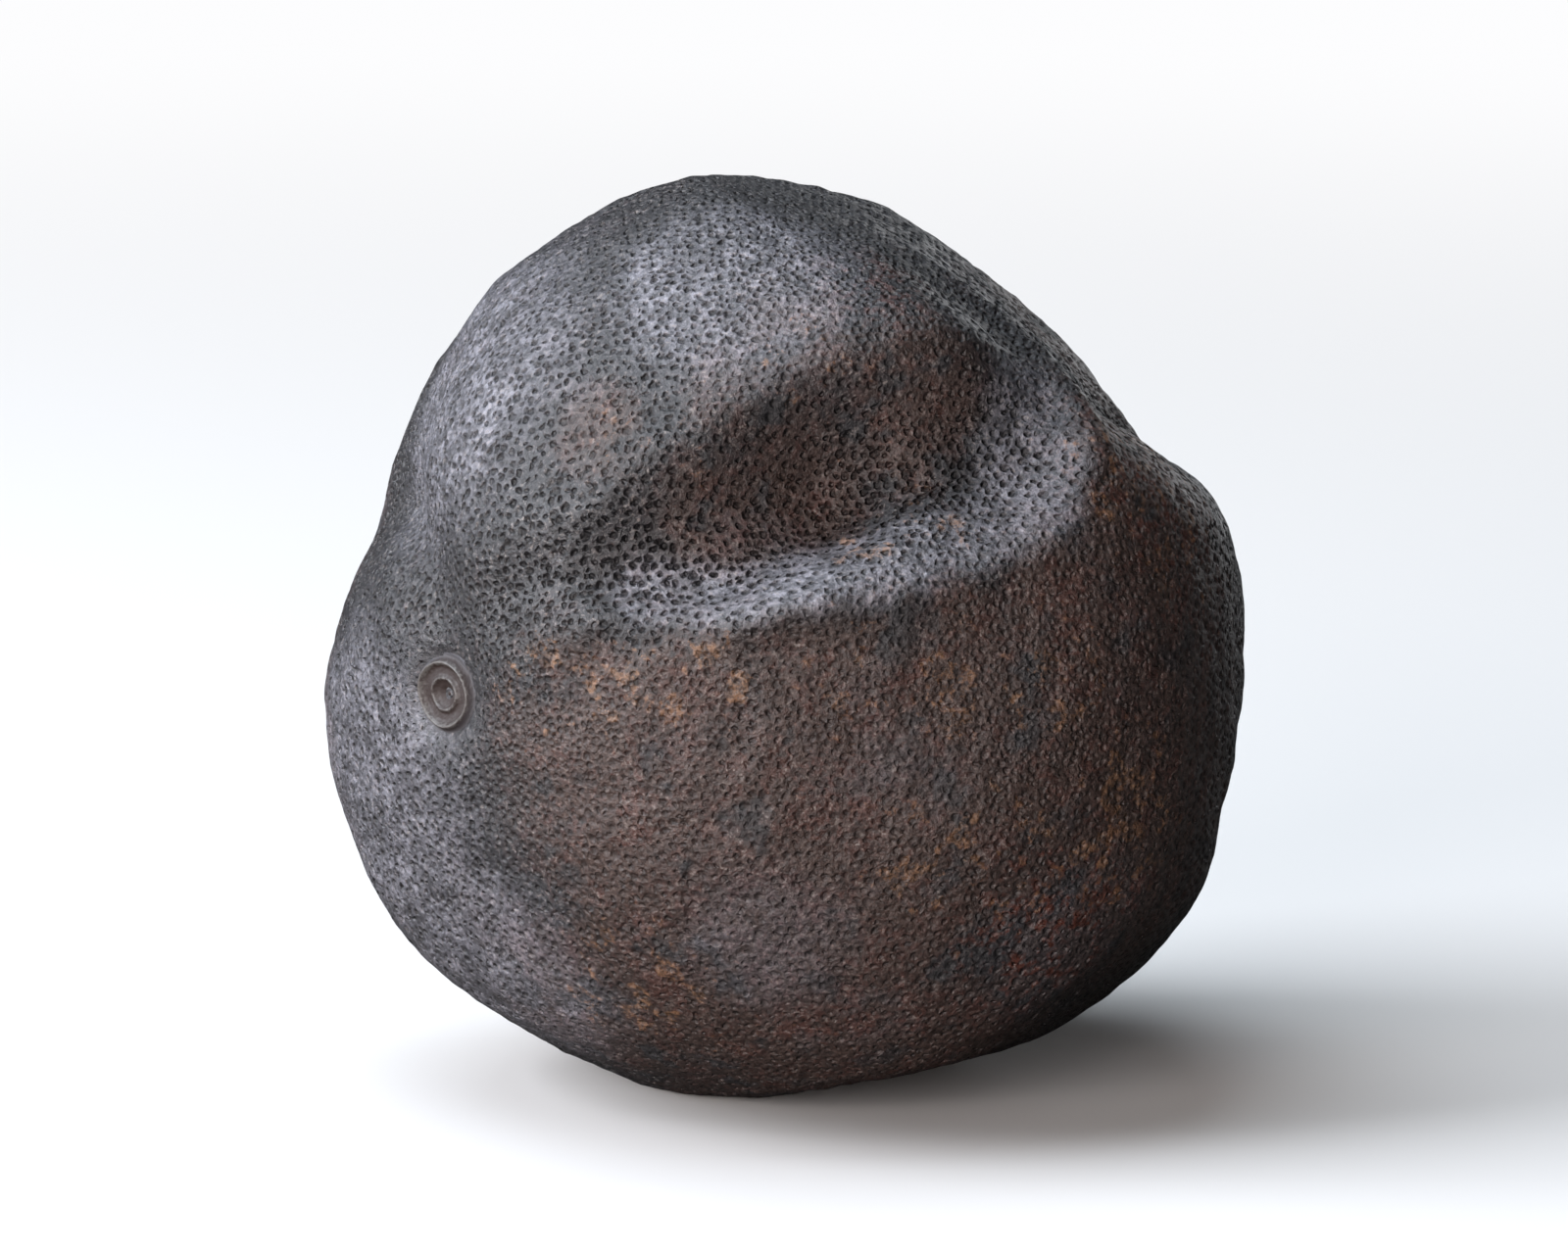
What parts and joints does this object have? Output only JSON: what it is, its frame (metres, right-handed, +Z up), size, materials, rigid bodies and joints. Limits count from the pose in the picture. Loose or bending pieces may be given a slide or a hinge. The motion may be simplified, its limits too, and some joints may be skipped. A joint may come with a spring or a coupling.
{
  "type": "black lime",
  "caption": "Whole dried lime with dark, pored, leathery peel, a dent, a stem scar and a small flat spot to rest on.",
  "frame": {"origin": "under the middle of the fruit's box, at the flat spot it rests on", "axes": "+Z up; the big dent faces -Y and the stem scar faces between -X and -Y"},
  "size_m": [0.0382, 0.0376, 0.0379],
  "materials": {
    "peel": "dark charcoal brown dried citrus peel, leathery and slightly waxy, with dark pores"
  },
  "bodies": {
    "root": {"black_lime": "peel"}
  },
  "joints": []
}
